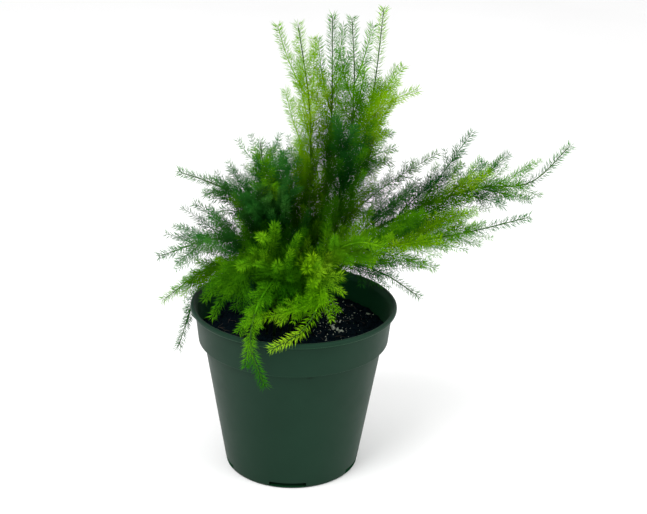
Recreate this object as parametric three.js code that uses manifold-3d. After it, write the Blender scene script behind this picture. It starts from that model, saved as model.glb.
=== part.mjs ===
// Potted lace fern: a moulded nursery pot, its potting mix and twenty-two leafy stems.
// Millimetres, +Z up, the underside of the pot at z = 0, the front of the plant towards -Y.

import * as THREE from "three";
import { mergeVertices } from "three/addons/utils/BufferGeometryUtils.js";
import Module from "manifold-3d";

const wasm = await Module();
wasm.setup();

// Pot
const RIM_RADIUS = 52.5;
const POT_HEIGHT = 88.5;
const BASE_RADIUS = 35;
const POT_FACETS = 44;
const SLOT_COUNT = 5;
const SLOT_WIDTH = 19;
const SLOT_LOW = 0.8;
const SLOT_HIGH = 3.3;
const SLOT_DEPTH = 10;
const SLOT_INNER_RADIUS = 29;

// Potting mix
const SOIL_LEVEL = 74;
const SOIL_FACETS = 24;
const SOIL_EDGE_RADIUS = 47.3;
const SOIL_RINGS = [0.3, 0.58, 0.82, 1];
const SOIL_SIDES = [[47.1, 71.9], [46.8, 71.4], [44.4, 71.2], [44.2, 70.3], [33.4, 4.4], [31, 1.8]];
const CRUMB_COUNT = 8;
const CRUMB_SIZES = [1.3, 2.4];
const CRUMB_ROOM = 3;
const CRUMB_SQUASH = [1, 0.7, 0.6];
const CRUMB_TILT = 0.3;
const CRUMB_LIFT = 0.2;
const HOLE_RADIUS = 1.45;
const HOLE_FLOOR = 66;
const HOLE_TOP = 82;
const HOLE_FACETS = 5;

// Leafy stems
const STEM_FOOT = 66.4;
const STEM_START = 75.6;
const STEM_RADII = [0.95, 0.42];
const SHOOT_RADII = [0.6, 0.34];
const TWIG_RADII = [0.48, 0.3];
const STEM_WHORLS_FROM = 0.84;
const CORNER_TURN = (Math.PI * 2) / 3;
const HALF_TURN = Math.PI / 3;
const SHOOT_LEAVE_ANGLE = 0.55;
const TWIG_LEAVE_ANGLE = 0.9;
const BEND_SHARE = 0.45;
const ROOT_LENGTH = 2.4;
const ROOT_APART = 1.7;
const STATION_SHIFTS = [0, 3.2, -3.2, 6.4, -6.4, 9.6];
const BARE_STEP = 12;
const SAMPLE_STEP = 2;
const PATH_STEP = 7;

// Whorls of needles
const WHORL_STEP = 9.5;
const WHORL_DEPTH = 1.2;
const STATION_ROOM = 3;
const FIRST_WHORL = 5;
const LAST_WHORL = 3;
const WHORL_TURN = 0.52;
const NEEDLE_LENGTH = 4.4;
const NEEDLE_LEAN = 0.87;
const NEEDLE_ROOM = 0.3;

// Twigs that a rule places along the stems: the solids carry one in twenty-four of the plant's twigs.
const TWIGS_FROM = 0.16;
const FULLEST_AT = 0.4;
const TWIG_LENGTHS = [26, 11];
const SHORTEST_TWIG = 9;
const TWIG_STEP = 1.8;
const TWIG_EVERY = 24;
const TWIG_ANGLE = 0.65;
const TWIG_LIFT = 0.08;
const TWIG_VARIETY = 0.3;
const TWIG_SWERVE = 0.4;
const GOLDEN_ANGLE = 2.39996;
const TURN_ASIDE = [0, 0.7, -0.7, 1.4, -1.4, 2.2, -2.2];

// Room kept between pieces
const PIECE_GAP = 0.3;
const SPRAY_GAP = 0.15;
const SOIL_ROOM = 1.8;
const SEAM_WIDTH = 1e-4;

const COLOURS = {
  pot: "#24402f",
  soil: "#12100f",
  young: "#7fae2c",
  grown: "#3f7d22",
  old: "#1f5a2a",
};
const POT_ROUGHNESS = 0.5;
const SOIL_ROUGHNESS = 0.95;
const LEAF_ROUGHNESS = 0.55;

// Each stem: where it stands in the mix, the points it passes, its tip, and its shoots as the share of the
// stem's length where one leaves and the place of its tip.
const STEMS = [
  {
    name: "frond_top_left",
    leaf: "young",
    root: [-9, 3],
    through: [[4, 3, 113], [7, -1, 169], [6, -3, 192]],
    tip: [0, -5, 231],
    shoots: [
      [0.53, [1, -16, 178]], [0.57, [-5, -12, 201]], [0.62, [1, 8, 192]], [0.64, [11, 14, 206]],
      [0.67, [0, 4, 207]], [0.74, [7, 2, 223]], [0.77, [-9, -14, 232]],
    ],
  },
  {
    name: "frond_top_centre",
    leaf: "grown",
    root: [-4, 8],
    through: [[9, 8, 114], [16, 4, 168]],
    tip: [16, -2, 235],
    shoots: [
      [0.54, [10, 14, 190]], [0.56, [24, -8, 196]], [0.59, [19, 17, 197]], [0.7, [9, 8, 222]],
      [0.76, [25, 10, 214]], [0.81, [21, -8, 231]],
    ],
  },
  {
    name: "frond_top_right",
    leaf: "grown",
    root: [2, 3],
    through: [[15, 2, 116], [25, -3, 165], [27, -6, 206]],
    tip: [25, -7, 235],
    shoots: [
      [0.55, [19, -16, 190]], [0.57, [28, -18, 186]], [0.59, [32, 6, 190]], [0.62, [37, -12, 201]],
      [0.7, [32, -16, 214]], [0.75, [20, -14, 221]], [0.8, [35, 2, 230]],
    ],
  },
  {
    name: "frond_top_far_right",
    leaf: "young",
    root: [8, 8],
    through: [[20, 9, 111], [31, 14, 160], [37, 15, 200]],
    tip: [40, 18, 236],
    shoots: [
      [0.35, [70, 18, 164]], [0.48, [47, 10, 162]], [0.51, [49, 22, 165]], [0.54, [40, -2, 180]],
      [0.57, [43, 24, 183]], [0.59, [47, 29, 170]], [0.62, [47, 14, 191]], [0.63, [43, 0, 197]],
      [0.66, [59, 26, 194]], [0.69, [48, 6, 203]], [0.7, [51, 22, 207]],
    ],
  },
  {
    name: "frond_left_bush",
    leaf: "old",
    root: [-15, -2],
    through: [[-6, -4, 115], [-14, -8, 152]],
    tip: [-17, -10, 176],
    shoots: [
      [0.51, [-20, -24, 147]], [0.54, [-24, -20, 151]], [0.55, [-31, -8, 146]], [0.57, [-20, -16, 163]],
      [0.58, [-5, -18, 173]], [0.62, [-12, 2, 168]], [0.65, [-14, -19, 169]], [0.72, [-20, -6, 171]],
    ],
  },
  {
    name: "frond_left_behind",
    leaf: "grown",
    root: [-13, 12],
    through: [[-3, 13, 111], [-1, 18, 150]],
    tip: [1, 22, 167],
    shoots: [
      [0.54, [-15, 30, 135]], [0.57, [11, 17, 147]], [0.59, [-11, 12, 153]], [0.61, [5, 6, 159]],
      [0.63, [-8, 26, 161]], [0.68, [8, 28, 162]],
    ],
  },
  {
    name: "frond_left_high",
    leaf: "old",
    root: [-20, 5],
    through: [[-12, 4, 117], [-26, 3, 141], [-41, 0, 150]],
    tip: [-58, -4, 157],
    shoots: [
      [0.3, [-34, 9, 128]], [0.44, [-27, 15, 147]], [0.5, [-31, -7, 153]], [0.53, [-36, -14, 141]],
      [0.57, [-34, 10, 156]], [0.61, [-43, 13, 138]], [0.68, [-46, 10, 150]], [0.73, [-44, -12, 148]],
    ],
  },
  {
    name: "frond_left_middle",
    leaf: "old",
    root: [-19, -5],
    through: [[-16, -7, 112], [-34, -13, 126]],
    tip: [-66, -20, 118],
    shoots: [
      [0.42, [-27, -3, 134]], [0.48, [-36, -2, 131]], [0.52, [-49, -10, 143]], [0.55, [-48, -4, 132]],
      [0.57, [-39, -24, 141]], [0.6, [-44, -25, 126]], [0.68, [-55, -6, 123]], [0.74, [-55, -26, 118]],
    ],
  },
  {
    name: "frond_left_low",
    leaf: "grown",
    root: [-23, 1],
    through: [[-18, 2, 103], [-41, 6, 104]],
    tip: [-69, 8, 83],
    shoots: [
      [0.46, [-42, -4, 95]], [0.49, [-52, 16, 102]], [0.52, [-48, -7, 100]], [0.6, [-62, 0, 92]],
      [0.7, [-59, 14, 84]],
    ],
  },
  {
    name: "frond_left_drop",
    leaf: "old",
    root: [-18, 14],
    through: [[-17, 18, 98], [-40, 26, 98], [-51, 26, 86]],
    tip: [-63, 18, 51],
    shoots: [
      [0.5, [-53, 34, 89]], [0.76, [-59, 24, 63]],
    ],
  },
  {
    name: "frond_front_left",
    leaf: "grown",
    root: [-13, -9],
    through: [[-9, -16, 114], [-21, -28, 120]],
    tip: [-26, -34, 98],
    shoots: [
      [0.57, [-38, -22, 107]], [0.6, [-33, -34, 119]], [0.63, [-24, -42, 123]], [0.66, [-43, -22, 97]],
      [0.7, [-38, -30, 91]], [0.76, [-31, -33, 102]], [0.78, [-18, -40, 105]],
    ],
  },
  {
    name: "frond_front_bright",
    leaf: "young",
    root: [3, -7],
    through: [[9, -18, 117], [15, -38, 109], [7, -50, 95]],
    tip: [-8, -58, 88],
    shoots: [
      [0.45, [22, -24, 120]], [0.49, [4, -30, 122]], [0.52, [24, -34, 117]], [0.54, [4, -42, 99]],
      [0.57, [16, -46, 107]], [0.62, [-19, -44, 98]],
    ],
  },
  {
    name: "frond_front_hanging",
    leaf: "grown",
    root: [-6, -8],
    through: [[-1, -16, 113], [-13, -42, 108], [-17, -57, 92]],
    tip: [-10, -57, 68],
    shoots: [
      [0.63, [-23, -50, 93]], [0.75, [-19, -58, 79]],
    ],
  },
  {
    name: "frond_front_small",
    leaf: "grown",
    root: [-2, -13],
    through: [[3, -20, 111], [-3, -30, 116]],
    tip: [-18, -34, 116],
    shoots: [
      [0.62, [6, -34, 98]], [0.66, [-4, -37, 94]], [0.7, [-13, -38, 99]], [0.77, [-6, -40, 124]],
    ],
  },
  {
    name: "frond_right_main",
    leaf: "grown",
    root: [10, 1],
    through: [[23, 4, 115], [48, 6, 132], [88, 0, 152], [113, -7, 158]],
    tip: [130, -13, 179],
    shoots: [
      [0.28, [65, 16, 123]], [0.31, [76, 10, 132]], [0.3, [60, 16, 147]], [0.33, [58, -4, 153]],
      [0.37, [83, -6, 141]], [0.42, [86, -14, 152]], [0.44, [79, 2, 160]], [0.49, [94, -14, 165]],
      [0.5, [86, 14, 177]], [0.6, [90, -8, 168]], [0.63, [101, -16, 149]], [0.66, [104, 8, 168]],
      [0.69, [116, 0, 147]],
    ],
  },
  {
    name: "frond_right_low",
    leaf: "grown",
    root: [9, -6],
    through: [[21, -8, 114], [52, -20, 129], [83, -28, 139]],
    tip: [111, -32, 149],
    shoots: [
      [0.36, [58, -8, 134]], [0.4, [71, -10, 113]], [0.44, [62, -30, 149]], [0.47, [71, -33, 137]],
      [0.5, [88, -18, 139]], [0.54, [80, -22, 133]], [0.58, [87, -30, 150]],
    ],
  },
  {
    name: "frond_right_back",
    leaf: "old",
    root: [12, 13],
    through: [[24, 19, 102], [45, 30, 94]],
    tip: [66, 32, 80],
    shoots: [
      [0.46, [34, 22, 90]], [0.55, [53, 38, 97]],
    ],
  },
  {
    name: "frond_front_right",
    leaf: "grown",
    root: [5, -12],
    through: [[16, -14, 116], [32, -28, 132]],
    tip: [45, -32, 131],
    shoots: [
      [0.6, [28, -34, 124]], [0.66, [39, -30, 122]], [0.74, [40, -18, 135]],
    ],
  },
  {
    name: "frond_front_tuft",
    leaf: "grown",
    root: [-9, -14],
    through: [[-8, -20, 117], [-12, -34, 134]],
    tip: [-14, -42, 138],
    shoots: [
      [0.66, [-20, -30, 128]], [0.72, [-8, -34, 141]],
    ],
  },
  {
    name: "frond_back_left",
    leaf: "grown",
    root: [-8, 16],
    through: [[-4, 22, 114], [-20, 46, 127]],
    tip: [-28, 58, 126],
    shoots: [
      [0.56, [-13, 36, 144]], [0.66, [-32, 40, 120]], [0.74, [-14, 56, 130]],
    ],
  },
  {
    name: "frond_back_right",
    leaf: "old",
    root: [3, 16],
    through: [[14, 24, 116], [33, 48, 131]],
    tip: [42, 60, 132],
    shoots: [
      [0.57, [24, 34, 146]], [0.67, [39, 44, 121]], [0.75, [26, 60, 133]],
    ],
  },
  {
    name: "frond_back_low",
    leaf: "grown",
    root: [-2, 20],
    through: [[5, 30, 111], [7, 50, 114]],
    tip: [8, 70, 97],
    shoots: [
      [0.54, [-6, 56, 110]], [0.6, [19, 58, 108]],
    ],
  },
];

// How long a stem's twigs are beside the plain rule, and the length of the bare plume at its end.
const PLAIN_HABIT = [1, 26];
const HABITS = {
  frond_top_left: [0.75, 18],
  frond_top_centre: [0.8, 34],
  frond_top_right: [0.85, 34],
  frond_top_far_right: [0.85, 38],
  frond_left_bush: [1.1, 10],
  frond_left_behind: [1.1, 10],
  frond_left_high: [0.7, 22],
  frond_left_middle: [1.1, 16],
  frond_left_low: [0.55, 22],
  frond_left_drop: [0.3, 22],
  frond_front_bright: [0.7, 32],
  frond_front_hanging: [0.4, 32],
  frond_right_main: [0.9, 30],
  frond_right_low: [0.75, 28],
};

// A number between 0 and 1 that looks random and is the same on every run.
function chance(...keys) {
  const mixed = keys.reduce((sum, key, place) => sum + key * (12.9898 + 65.2432 * place), 0.5);
  const wave = Math.sin(mixed) * 43758.5453;
  return wave - Math.floor(wave);
}

function mix(from, to, share) {
  return from + (to - from) * share;
}

// Solids

// A solid from a geometry, its seams closed and its faces turned out.
function solidOf(geometry) {
  const bare = new THREE.BufferGeometry();
  bare.setAttribute("position", geometry.getAttribute("position"));
  bare.setIndex(geometry.index);
  const merged = mergeVertices(bare, SEAM_WIDTH);
  const corners = [];
  for (let i = 0; i < merged.index.count; i += 3) {
    const [a, b, c] = [0, 1, 2].map((step) => merged.index.getX(i + step));
    if (a !== b && b !== c && c !== a) {
      corners.push(a, b, c);
    }
  }
  const shape = { numProp: 3, vertProperties: merged.getAttribute("position").array };
  const solid = new wasm.Manifold(new wasm.Mesh({ ...shape, triVerts: new Uint32Array(corners) }));
  if (solid.volume() > 0) {
    return solid;
  }
  corners.reverse();
  return new wasm.Manifold(new wasm.Mesh({ ...shape, triVerts: new Uint32Array(corners) }));
}

function meshOf(name, solid, colour, roughness) {
  const made = solid.getMesh();
  const geometry = new THREE.BufferGeometry();
  geometry.setAttribute("position", new THREE.BufferAttribute(made.vertProperties, made.numProp));
  geometry.setIndex(new THREE.BufferAttribute(made.triVerts, 1));
  geometry.computeVertexNormals();
  const material = new THREE.MeshStandardMaterial({ color: colour, roughness, metalness: 0 });
  material.name = name;
  const mesh = new THREE.Mesh(geometry, material);
  mesh.name = name;
  return mesh;
}

// A body of revolution about Z from a profile of [radius, height] that starts and ends on the axis.
function turned(profile, facets) {
  const outline = profile.map(([radius, height]) => new THREE.Vector2(radius, height));
  return solidOf(new THREE.LatheGeometry(outline, facets).rotateX(Math.PI / 2));
}

// Pot

function buildPot() {
  const profile = [
    [0, 0], [33.9, 0], [34.7, 0.6], [BASE_RADIUS, 2],
    [45.9, 69.7], [48.6, 69.7],
    [50.3, 86], [52.1, 86.1], [RIM_RADIUS, 86.7], [RIM_RADIUS, 87.9],
    [52, POT_HEIGHT], [50.9, POT_HEIGHT], [50.4, 88],
    [49.2, 85.4], [47.5, 71.4], [46.9, 70.9], [44.8, 70.8],
    [33.9, 4], [31.2, 1.4], [0, 1.4],
  ];
  const body = turned(profile, POT_FACETS);
  const slots = Array.from({ length: SLOT_COUNT }, (unused, place) => {
    const slot = new THREE.BoxGeometry(SLOT_WIDTH, SLOT_DEPTH, SLOT_HIGH - SLOT_LOW);
    slot.translate(0, -SLOT_INNER_RADIUS - SLOT_DEPTH / 2, (SLOT_LOW + SLOT_HIGH) / 2);
    slot.rotateZ((place * Math.PI * 2) / SLOT_COUNT);
    return solidOf(slot);
  });
  return body.subtract(wasm.Manifold.union(slots));
}

// Potting mix

// Height of the mix above its level: slow swells and a fine roughness.
function swell(x, y) {
  const slow = Math.sin(x * 0.13 + 0.8) * Math.cos(y * 0.11 - 0.5);
  const fine = Math.sin(x * 0.71 + y * 0.34) * Math.cos(y * 0.63 - x * 0.21);
  return 0.55 * slow + 0.4 * fine;
}

// A plug with an uneven top that follows the pot's inner wall down to its floor.
function buildSoilPlug() {
  const positions = [0, 0, SOIL_LEVEL + swell(0, 0)];
  const rings = SOIL_RINGS.map((share) => [share * SOIL_EDGE_RADIUS, null]);
  for (const [radius, height] of [...rings, ...SOIL_SIDES]) {
    for (let i = 0; i < SOIL_FACETS; i += 1) {
      const angle = (i / SOIL_FACETS) * Math.PI * 2;
      const x = radius * Math.cos(angle);
      const y = radius * Math.sin(angle);
      positions.push(x, y, height ?? SOIL_LEVEL + swell(x, y));
    }
  }
  positions.push(0, 0, SOIL_SIDES[SOIL_SIDES.length - 1][1]);

  const ringCount = rings.length + SOIL_SIDES.length;
  const last = ringCount * SOIL_FACETS + 1;
  const index = [];
  for (let i = 0; i < SOIL_FACETS; i += 1) {
    const next = (i + 1) % SOIL_FACETS;
    index.push(0, 1 + i, 1 + next);
    for (let ring = 0; ring < ringCount - 1; ring += 1) {
      const upper = 1 + ring * SOIL_FACETS;
      const lower = upper + SOIL_FACETS;
      index.push(upper + i, lower + i, lower + next);
      index.push(upper + i, lower + next, upper + next);
    }
    const bottom = last - SOIL_FACETS;
    index.push(bottom + i, last, bottom + next);
  }
  const geometry = new THREE.BufferGeometry();
  geometry.setAttribute("position", new THREE.Float32BufferAttribute(positions, 3));
  geometry.setIndex(index);
  return solidOf(geometry);
}

function rootClear(x, y, room) {
  return STEMS.every(({ root }) => Math.hypot(root[0] - x, root[1] - y) > room);
}

// Bark crumbs half sunk in the mix, clear of the stems.
function buildCrumbs() {
  const crumbs = [];
  for (let i = 0; crumbs.length < CRUMB_COUNT; i += 1) {
    const angle = chance(i, 1) * Math.PI * 2;
    const radius = Math.sqrt(chance(i, 2)) * (SOIL_EDGE_RADIUS - CRUMB_ROOM * 2);
    const x = radius * Math.cos(angle);
    const y = radius * Math.sin(angle);
    const size = mix(CRUMB_SIZES[0], CRUMB_SIZES[1], chance(i, 3));
    if (rootClear(x, y, size + CRUMB_ROOM)) {
      const crumb = new THREE.OctahedronGeometry(size);
      crumb.scale(...CRUMB_SQUASH).rotateZ(chance(i, 4) * Math.PI).rotateX(CRUMB_TILT);
      crumb.translate(x, y, SOIL_LEVEL + swell(x, y) + CRUMB_LIFT);
      crumbs.push(solidOf(crumb));
    }
  }
  return crumbs;
}

function buildSoil() {
  const depth = HOLE_TOP - HOLE_FLOOR;
  const holes = STEMS.map(({ root }) => {
    const hole = new THREE.CylinderGeometry(HOLE_RADIUS, HOLE_RADIUS, depth, HOLE_FACETS);
    hole.rotateX(Math.PI / 2).translate(root[0], root[1], HOLE_FLOOR + depth / 2);
    return solidOf(hole);
  });
  const filled = wasm.Manifold.union([buildSoilPlug(), ...buildCrumbs()]);
  return filled.subtract(wasm.Manifold.union(holes));
}

// Lines that stems, shoots and twigs grow along

// Evenly spaced points of a curve, each with its tangent and a normal that doesn't spin along the line.
function traceLine(curve) {
  const length = curve.getLength();
  const count = Math.max(4, Math.ceil(length / SAMPLE_STEP));
  const points = curve.getSpacedPoints(count);
  const tangents = points.map((point, i) => {
    const after = points[Math.min(i + 1, count)];
    const before = points[Math.max(i - 1, 0)];
    return after.clone().sub(before).normalize();
  });
  const sizes = tangents[0].toArray().map(Math.abs);
  const axis = sizes.indexOf(Math.min(...sizes));
  let normal = new THREE.Vector3().setComponent(axis, 1);
  const normals = tangents.map((tangent) => {
    normal = normal.clone().addScaledVector(tangent, -normal.dot(tangent)).normalize();
    return normal;
  });
  return { points, tangents, normals, length, step: length / count };
}

function spotOn(line, distance) {
  const place = Math.min(Math.max(distance / line.step, 0), line.points.length - 1.0001);
  const i = Math.floor(place);
  const share = place - i;
  const point = line.points[i].clone().lerp(line.points[i + 1], share);
  const tangent = line.tangents[i].clone().lerp(line.tangents[i + 1], share).normalize();
  const leaning = line.normals[i].clone().lerp(line.normals[i + 1], share);
  const normal = leaning.addScaledVector(tangent, -leaning.dot(tangent)).normalize();
  return { point, tangent, normal };
}

// The direction square to a spot's tangent at an angle round it.
function outwards(spot, angle) {
  const side = spot.tangent.clone().cross(spot.normal);
  return spot.normal.clone().multiplyScalar(Math.cos(angle)).addScaledVector(side, Math.sin(angle));
}

function stemLine(stem) {
  const start = new THREE.Vector3(stem.root[0], stem.root[1], STEM_START);
  const rest = [...stem.through, stem.tip].map((point) => new THREE.Vector3(...point));
  return traceLine(new THREE.CatmullRomCurve3([start, ...rest]));
}

// A line that leaves a spot at an angle to it, towards a side, and bends to its own tip.
function sideLine(spot, side, tip, angle) {
  const reach = tip.distanceTo(spot.point) * BEND_SHARE;
  const bend = spot.point
    .clone()
    .addScaledVector(spot.tangent, Math.cos(angle) * reach)
    .addScaledVector(side, Math.sin(angle) * reach);
  return traceLine(new THREE.QuadraticBezierCurve3(spot.point, bend, tip));
}

function shootLine(spot, place) {
  const tip = new THREE.Vector3(...place);
  const side = tip.clone().sub(spot.point);
  side.addScaledVector(spot.tangent, -side.dot(spot.tangent)).normalize();
  return sideLine(spot, side, tip, SHOOT_LEAVE_ANGLE);
}

function twigLine(spot, angle, length) {
  const side = outwards(spot, angle);
  const tip = spot.point
    .clone()
    .addScaledVector(spot.tangent, Math.cos(TWIG_ANGLE) * length)
    .addScaledVector(side, Math.sin(TWIG_ANGLE) * length);
  tip.z += length * TWIG_LIFT;
  return sideLine(spot, side, tip, TWIG_LEAVE_ANGLE);
}

// What each placed piece of a stem fills, so that no other piece runs through it

const filled = [];

// Shortest distance between two straight pieces.
function pieceDistance(a, b, c, d) {
  const u = b.clone().sub(a);
  const v = d.clone().sub(c);
  const w = a.clone().sub(c);
  const uu = u.dot(u);
  const uv = u.dot(v);
  const vv = v.dot(v);
  const uw = u.dot(w);
  const vw = v.dot(w);
  const spread = uu * vv - uv * uv;
  let s = spread > 1e-9 ? THREE.MathUtils.clamp((uv * vw - vv * uw) / spread, 0, 1) : 0;
  const t = THREE.MathUtils.clamp((uv * s + vw) / vv, 0, 1);
  s = THREE.MathUtils.clamp((uv * t - uw) / uu, 0, 1);
  return w.addScaledVector(u, s).addScaledVector(v, -t).length();
}

// Whether a point with some room round it stays off the pot and the mix.
function clearOfPot(point, room) {
  const radius = Math.hypot(point.x, point.y);
  if (point.z > POT_HEIGHT + room + PIECE_GAP || radius > RIM_RADIUS + room + PIECE_GAP) {
    return true;
  }
  return radius < SOIL_EDGE_RADIUS - room && point.z > SOIL_LEVEL + SOIL_ROOM + room;
}

function isClear(a, b, room, allowed) {
  const middle = a.clone().lerp(b, 0.5);
  if (![a, middle, b].every((point) => clearOfPot(point, room))) {
    return false;
  }
  const half = a.distanceTo(b) / 2;
  return filled.every((piece) => {
    if (allowed.includes(piece.owner)) {
      return true;
    }
    const need = room + piece.room + SPRAY_GAP;
    if (piece.middle.distanceTo(middle) > need + half + piece.half) {
      return true;
    }
    return pieceDistance(a, b, piece.a, piece.b) > need;
  });
}

function fill(a, b, room, owner) {
  const middle = a.clone().lerp(b, 0.5);
  filled.push({ a, b, room, owner, middle, half: a.distanceTo(b) / 2 });
}

// Shafts: the tapered three-sided cores of stems, shoots and twigs. A shaft carries stations: places where a
// pair of rings makes room for side shafts to take root and for needles to rise.

function makeShaft(line, radii, place) {
  return { line, radii, place, stations: [] };
}

// The station that a shaft already has close to a distance along it.
function shaftStation(shaft, at) {
  return shaft.stations.find((station) => Math.abs(station.at - at) < STATION_ROOM);
}

// The station of a shaft at a distance along it, or the one that is already close by.
function stationNear(shaft, at) {
  const close = shaftStation(shaft, at);
  if (close) {
    return close;
  }
  const station = { at, children: [], ...spotOn(shaft.line, at) };
  shaft.stations.push(station);
  return station;
}

function angleAt(spot, direction) {
  const side = spot.tangent.clone().cross(spot.normal);
  return Math.atan2(direction.dot(side), direction.dot(spot.normal));
}

// A turn brought as close to another one as it gets, where the shape repeats after a period.
function nearestTurn(turn, other, period) {
  return turn - period * Math.round((turn - other) / period);
}

// The straight pieces that stand for a line, from a distance along it.
function pathPieces(line, from = 0) {
  const count = Math.ceil((line.length - from) / PATH_STEP);
  const stops = Array.from({ length: count + 1 }, (unused, i) =>
    spotOn(line, mix(from, line.length, i / count)).point,
  );
  return stops.slice(1).map((stop, i) => [stops[i], stop]);
}

function fillShaft(shaft, from) {
  for (const [a, b] of pathPieces(shaft.line, from)) {
    fill(a, b, shaft.radii[0], shaft);
  }
}

function growStem(stem, place) {
  const shaft = makeShaft(stemLine(stem), STEM_RADII, place);
  fillShaft(shaft, 0);
  return shaft;
}

// Each shoot leaves where its share says, or a little before or after that where another one is in its way.
function growShoots(main) {
  for (const [share, tip] of STEMS[main.place].shoots) {
    const places = STATION_SHIFTS.map((shift) => {
      const at = share * main.line.length + shift;
      const station = shaftStation(main, at) ?? { at, children: [], ...spotOn(main.line, at) };
      return { station, shoot: makeShaft(shootLine(station, tip), SHOOT_RADII, main.place) };
    });
    const rooted = places.filter((place) => rootIsFree(place.station, place.shoot));
    const free = rooted.find((place) => lineIsClear(place.shoot, main));
    const { station, shoot } = free ?? rooted[0] ?? places[0];
    fillShaft(shoot, ROOT_LENGTH);
    station.children.push(shoot);
    if (!main.stations.includes(station)) {
      main.stations.push(station);
    }
  }
}

function addWhorls(shaft, from) {
  const to = shaft.line.length - LAST_WHORL;
  const count = Math.max(1, Math.round((to - from) / WHORL_STEP));
  for (let i = 0; i <= count; i += 1) {
    stationNear(shaft, mix(from, to, i / count));
  }
}

function rootAngle(station, child) {
  const ahead = spotOn(child.line, ROOT_LENGTH).point.sub(station.point);
  return angleAt(station, ahead);
}

// Whether a side shaft would leave well apart from the ones that leave at the same station.
function rootIsFree(station, child) {
  const turn = rootAngle(station, child);
  return station.children.every((other) => Math.cos(turn - rootAngle(station, other)) < Math.cos(ROOT_APART));
}

// Whether a side shaft runs clear of everything but the stem that it leaves.
function lineIsClear(shaft, main) {
  return pathPieces(shaft.line, ROOT_LENGTH).every(([a, b]) => isClear(a, b, shaft.radii[0], [main]));
}

// Twigs all round a stem; one that would run into a neighbour is turned aside or left out.
function growTwigs(main) {
  const { line, place } = main;
  const [fullness, plume] = HABITS[STEMS[place].name] ?? PLAIN_HABIT;
  const start = line.length * TWIGS_FROM;
  const count = Math.floor((line.length - plume - start) / TWIG_STEP);
  for (let i = 0; i < count; i += TWIG_EVERY) {
    const distance = start + i * TWIG_STEP;
    const station = stationNear(main, distance);
    const away = Math.abs(distance / line.length - FULLEST_AT) / (1 - FULLEST_AT);
    const longest = mix(TWIG_LENGTHS[0], TWIG_LENGTHS[1], away) * fullness;
    const varied = longest * mix(1 - TWIG_VARIETY, 1 + TWIG_VARIETY, chance(place, i, 1));
    const length = Math.max(varied, SHORTEST_TWIG);
    const angle = i * GOLDEN_ANGLE + mix(-TWIG_SWERVE, TWIG_SWERVE, chance(place, i, 2));
    const taken = station.children.map((child) => rootAngle(station, child));
    const open = TURN_ASIDE.map((aside) => angle + aside).filter((turn) =>
      taken.every((other) => Math.cos(turn - other) < Math.cos(ROOT_APART)),
    );
    const twig = open
      .map((turn) => makeShaft(twigLine(station, turn, length), TWIG_RADII, place))
      .find((tried) => lineIsClear(tried, main));
    if (twig) {
      fillShaft(twig, ROOT_LENGTH);
      station.children.push(twig);
    }
  }
}

// The tip of the needle that rises from a triangle of a shaft, or null where it would meet another piece.
function needleTip(shaft, station, corners) {
  const centre = new THREE.Vector3();
  corners.forEach((corner) => centre.addScaledVector(corner, 1 / corners.length));
  const out = centre.clone().sub(station.point);
  out.addScaledVector(station.tangent, -out.dot(station.tangent)).normalize();
  const tip = centre
    .clone()
    .addScaledVector(station.tangent, Math.cos(NEEDLE_LEAN) * NEEDLE_LENGTH)
    .addScaledVector(out, Math.sin(NEEDLE_LEAN) * NEEDLE_LENGTH);
  if (!isClear(centre, tip, NEEDLE_ROOM, [shaft])) {
    return null;
  }
  fill(centre, tip, NEEDLE_ROOM, shaft);
  return tip;
}

// Three corners round a spot, as places in the list of points.
function addRing(points, spot, radius, turn) {
  return [0, 1, 2].map((corner) => {
    const out = outwards(spot, turn + corner * CORNER_TURN);
    return points.push(spot.point.clone().addScaledVector(out, radius)) - 1;
  });
}

// The two triangles of each of the three faces between two rings.
function wallHalves(near, far) {
  return [0, 1, 2].flatMap((i) => {
    const next = (i + 1) % 3;
    return [
      [near[i], near[next], far[next]],
      [near[i], far[next], far[i]],
    ];
  });
}

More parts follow.
